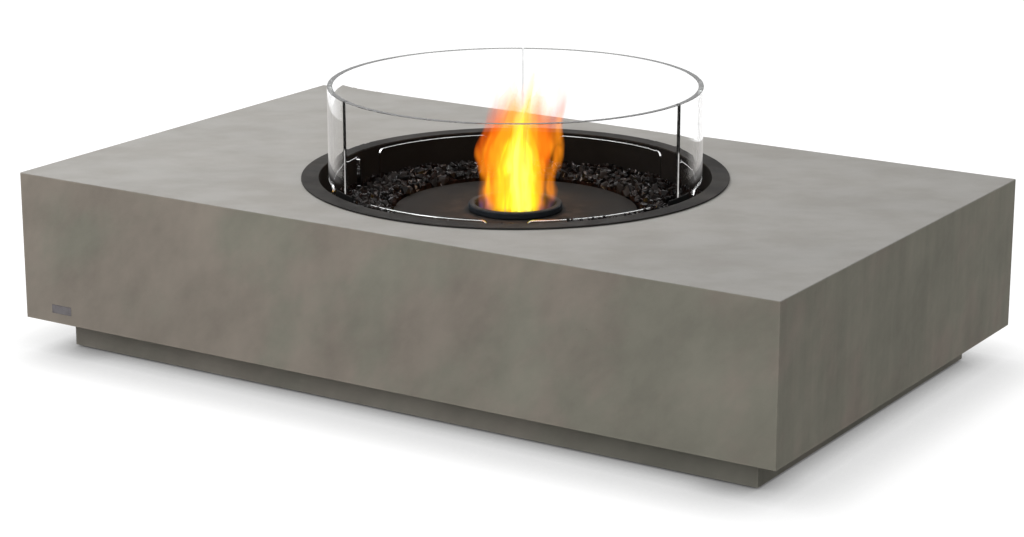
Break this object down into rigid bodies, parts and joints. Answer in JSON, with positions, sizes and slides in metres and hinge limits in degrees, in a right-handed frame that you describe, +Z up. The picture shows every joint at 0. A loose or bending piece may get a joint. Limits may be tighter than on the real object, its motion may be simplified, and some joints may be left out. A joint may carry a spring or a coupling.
{
  "type": "fire pit table",
  "caption": "Low rectangular fire pit table of cast concrete on a recessed plinth, with a round steel fire well, a lift-out fuel burner, black stones and a round glass screen.",
  "frame": {"origin": "on the floor below the middle of the table", "axes": "+X along the table's length, +Y from front to back, +Z up"},
  "size_m": [1.27, 0.7623, 0.416],
  "materials": {
    "concrete": "smooth cast concrete, mottled, sealed",
    "plinth": "smooth cast concrete",
    "badge": "satin, blank",
    "frame_steel": "powder coat",
    "zinc_steel": "zinc plated",
    "pad_rubber": "moulded",
    "clear_rubber": "soft strip",
    "gasket": "thin bedding strip",
    "black_steel": "matt black powder coat",
    "burner_black": "matt black heat-proof paint",
    "burner_steel": "brushed stainless steel",
    "wick_fibre": "ceramic fibre",
    "black_glass_stone": "glossy black chips",
    "clear_glass": "clear toughened, polished edges"
  },
  "bodies": {
    "table": {"concrete_shell": "concrete", "badge_plate": "badge", "plinth_front": "plinth", "plinth_back": "plinth", "plinth_left": "plinth", "plinth_right": "plinth", "rail_front": "frame_steel", "rail_back": "frame_steel", "rail_left": "frame_steel", "rail_right": "frame_steel", "frame_posts": "frame_steel", "bearer_left": "frame_steel", "bearer_right": "frame_steel", "bearer_pads": "pad_rubber", "shell_brackets": "frame_steel", "bracket_bolts": "zinc_steel", "foot_inserts": "zinc_steel", "flange_gasket": "gasket", "well_flange": "black_steel", "well_wall": "black_steel", "stone_shelf": "black_steel", "burner_bucket": "black_steel", "glass_holder_right": "black_steel", "glass_holder_back": "black_steel", "glass_holder_left": "black_steel", "glass_end_strips": "clear_rubber", "glass_middle_strips": "clear_rubber", "stones_front": "black_glass_stone", "stones_right": "black_glass_stone", "stones_left": "black_glass_stone"},
    "burner": {"burner_top_plate": "burner_black", "burner_casing": "burner_steel", "tank_support": "burner_steel", "fuel_tank": "burner_steel", "wick_pad": "wick_fibre", "wick_grille": "burner_steel"},
    "collar": {"burner_collar": "burner_black"},
    "glass_front": {"glass_front": "clear_glass"},
    "glass_right": {"glass_right": "clear_glass"},
    "glass_left": {"glass_left": "clear_glass"},
    "foot_pad_front_left": {"foot_pad_front_left": "pad_rubber"},
    "foot_stud_front_left": {"foot_stud_front_left": "zinc_steel"},
    "foot_pad_front_right": {"foot_pad_front_right": "pad_rubber"},
    "foot_stud_front_right": {"foot_stud_front_right": "zinc_steel"},
    "foot_pad_back_left": {"foot_pad_back_left": "pad_rubber"},
    "foot_stud_back_left": {"foot_stud_back_left": "zinc_steel"},
    "foot_pad_back_right": {"foot_pad_back_right": "pad_rubber"},
    "foot_stud_back_right": {"foot_stud_back_right": "zinc_steel"}
  },
  "joints": [
    {"name": "burner_lift", "type": "slide", "parent": "table", "child": "burner", "axis": [0, 0, 1], "range_m": [0, 0.35]},
    {"name": "collar_lift", "type": "slide", "parent": "burner", "child": "collar", "axis": [0, 0, 1], "range_m": [0, 0.22]},
    {"name": "glass_front_lift", "type": "slide", "parent": "table", "child": "glass_front", "axis": [0, 0, 1], "range_m": [0, 0.2]},
    {"name": "glass_right_lift", "type": "slide", "parent": "table", "child": "glass_right", "axis": [0, 0, 1], "range_m": [0, 0.2]},
    {"name": "glass_left_lift", "type": "slide", "parent": "table", "child": "glass_left", "axis": [0, 0, 1], "range_m": [0, 0.2]},
    {"name": "foot_front_left_height", "type": "slide", "parent": "table", "child": "foot_pad_front_left", "axis": [0, 0, -1], "range_m": [0, 0.012]},
    {"name": "foot_front_left_turn", "type": "hinge", "parent": "foot_pad_front_left", "child": "foot_stud_front_left", "pos_m": [-0.48, -0.287, 0.012], "axis": [0, 0, -1], "range_deg": [0, 2469]},
    {"name": "foot_front_right_height", "type": "slide", "parent": "table", "child": "foot_pad_front_right", "axis": [0, 0, -1], "range_m": [0, 0.012]},
    {"name": "foot_front_right_turn", "type": "hinge", "parent": "foot_pad_front_right", "child": "foot_stud_front_right", "pos_m": [0.48, -0.287, 0.012], "axis": [0, 0, -1], "range_deg": [0, 2469]},
    {"name": "foot_back_left_height", "type": "slide", "parent": "table", "child": "foot_pad_back_left", "axis": [0, 0, -1], "range_m": [0, 0.012]},
    {"name": "foot_back_left_turn", "type": "hinge", "parent": "foot_pad_back_left", "child": "foot_stud_back_left", "pos_m": [-0.48, 0.287, 0.012], "axis": [0, 0, -1], "range_deg": [0, 2469]},
    {"name": "foot_back_right_height", "type": "slide", "parent": "table", "child": "foot_pad_back_right", "axis": [0, 0, -1], "range_m": [0, 0.012]},
    {"name": "foot_back_right_turn", "type": "hinge", "parent": "foot_pad_back_right", "child": "foot_stud_back_right", "pos_m": [0.48, 0.287, 0.012], "axis": [0, 0, -1], "range_deg": [0, 2469]}
  ],
  "couplings": [
    {"joint": "foot_front_left_turn", "follows": "foot_front_left_height", "rad_per_m": 3590.4},
    {"joint": "foot_front_right_turn", "follows": "foot_front_right_height", "rad_per_m": 3590.4},
    {"joint": "foot_back_left_turn", "follows": "foot_back_left_height", "rad_per_m": 3590.4},
    {"joint": "foot_back_right_turn", "follows": "foot_back_right_height", "rad_per_m": 3590.4}
  ]
}
